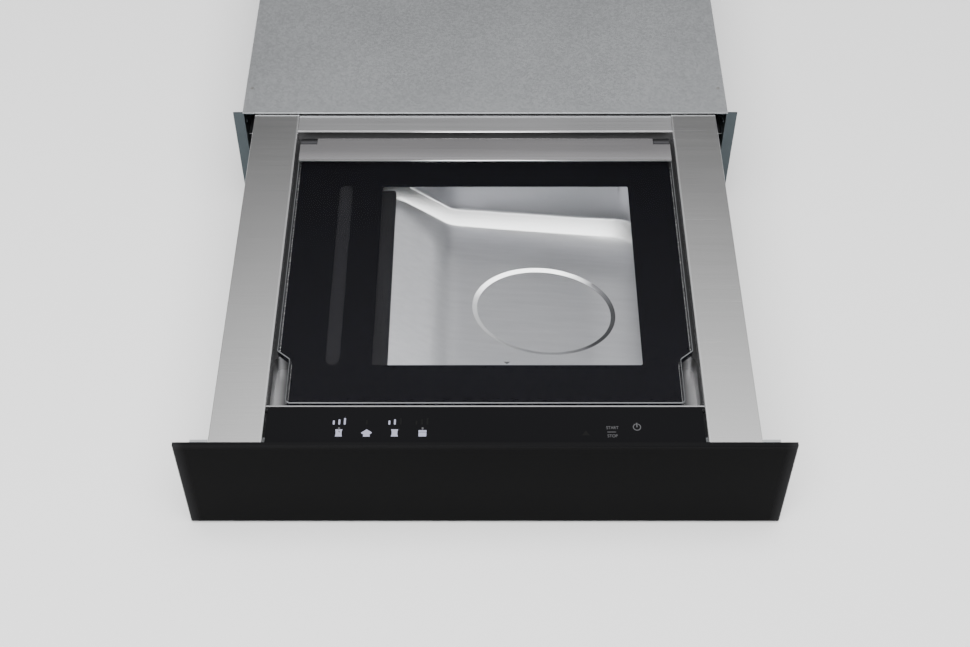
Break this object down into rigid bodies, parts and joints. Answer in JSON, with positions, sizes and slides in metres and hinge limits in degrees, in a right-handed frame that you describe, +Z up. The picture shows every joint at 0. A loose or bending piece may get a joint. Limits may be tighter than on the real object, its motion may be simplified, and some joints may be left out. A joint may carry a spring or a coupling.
{
  "type": "vacuum sealing drawer",
  "caption": "Built-in vacuum sealing drawer on telescopic slides: glass front, touch controls, brushed side beams and a hinged glass lid over a pressed steel chamber with a sealing bar.",
  "frame": {"origin": "centre of the housing's underside, drawer pulled out", "axes": "+X to the right seen from the front, +Y to the rear along the drawer's travel, +Z up"},
  "size_m": [0.597, 1.002, 0.134],
  "materials": {
    "black_glass": "polished black glass",
    "clear_glass": "polished",
    "border_black": "black enamel",
    "brushed": "brushed",
    "satin": "satin",
    "zinc": "zinc coated",
    "rail_steel": "bright zinc",
    "black_plastic": "fine matte",
    "silicone": "matte",
    "gasket_rubber": "matte",
    "aluminium": "machined",
    "cast": "cast, painted grey",
    "board_green": "circuit board",
    "copper_winding": "enamelled winding",
    "dark_steel": "oiled steel",
    "hose_rubber": "matte"
  },
  "bodies": {
    "housing": {"housing_base": "zinc", "housing_top": "zinc", "housing_side_left": "zinc", "housing_side_right": "zinc", "housing_rear": "zinc", "mains_inlet": "black_plastic", "housing_screws": "rail_steel", "latch_body": "black_plastic", "rail_bracket_left": "zinc", "outer_rail_left": "rail_steel", "rail_bracket_right": "zinc", "outer_rail_right": "rail_steel"},
    "drawer": {"inner_rail_left": "rail_steel", "inner_rail_right": "rail_steel", "chassis_tray": "zinc", "chassis_rear": "zinc", "lead_gland": "black_plastic", "side_beam_left": "brushed", "side_beam_right": "brushed", "front_glass": "black_glass", "front_frame": "zinc", "front_studs": "rail_steel", "control_glass": "black_glass", "control_tray": "black_plastic", "control_board": "board_green", "deck": "satin", "chamber_tank": "satin", "lid_gasket": "gasket_rubber", "sealing_carrier": "black_plastic", "lift_cylinders": "aluminium", "hinge_pins": "rail_steel", "hinge_knuckles": "satin", "rear_cover": "brushed", "motor_casing": "cast", "motor_bearings": "rail_steel", "motor_stator": "copper_winding", "pump_body": "cast", "pump_end_cover": "cast", "pump_bracket": "zinc", "pump_feet": "gasket_rubber", "suction_hose": "hose_rubber", "vent_valve": "black_plastic", "power_board": "board_green", "seal_transformer": "copper_winding", "fan_frame": "black_plastic"},
    "mid_rails": {"mid_rail_left": "rail_steel", "mid_rail_right": "rail_steel"},
    "lid": {"lid_glass": "clear_glass", "lid_border": "border_black", "counter_bar": "silicone", "hinge_profile": "brushed"},
    "sealing": {"sealing_bar": "aluminium", "heating_strip": "rail_steel", "lift_rods": "rail_steel"},
    "pump_drive": {"motor_rotor": "dark_steel", "pump_shaft": "rail_steel", "pump_rotor": "dark_steel", "pump_vanes": "black_plastic"},
    "case_fan": {"fan_impeller": "black_plastic"},
    "plunger": {"latch_plunger": "black_plastic"}
  },
  "joints": [
    {"name": "drawer_slide", "type": "slide", "parent": "housing", "child": "drawer", "axis": [0, -1, 0], "range_m": [-0.45, 0]},
    {"name": "mid_rail_slide", "type": "slide", "parent": "housing", "child": "mid_rails", "axis": [0, -1, 0], "range_m": [-0.225, 0]},
    {"name": "lid_hinge", "type": "hinge", "parent": "drawer", "child": "lid", "pos_m": [0, -0.3085, 0.126], "axis": [-1, 0, 0], "range_deg": [0, 75]},
    {"name": "bar_lift", "type": "slide", "parent": "drawer", "child": "sealing", "axis": [0, 0, 1], "range_m": [0, 0.005]},
    {"name": "pump_turn", "type": "hinge", "parent": "drawer", "child": "pump_drive", "pos_m": [0, -0.293, 0.062], "axis": [1, 0, 0], "continuous": true},
    {"name": "fan_turn", "type": "hinge", "parent": "drawer", "child": "case_fan", "pos_m": [-0.192, -0.235, 0.062], "axis": [0, 1, 0], "continuous": true},
    {"name": "plunger_slide", "type": "slide", "parent": "housing", "child": "plunger", "axis": [0, 1, 0], "range_m": [0, 0.004], "stiffness_N_per_m": 800, "springref_m": -0.004}
  ],
  "couplings": [
    {"joint": "mid_rail_slide", "follows": "drawer_slide", "ratio": 0.5}
  ]
}
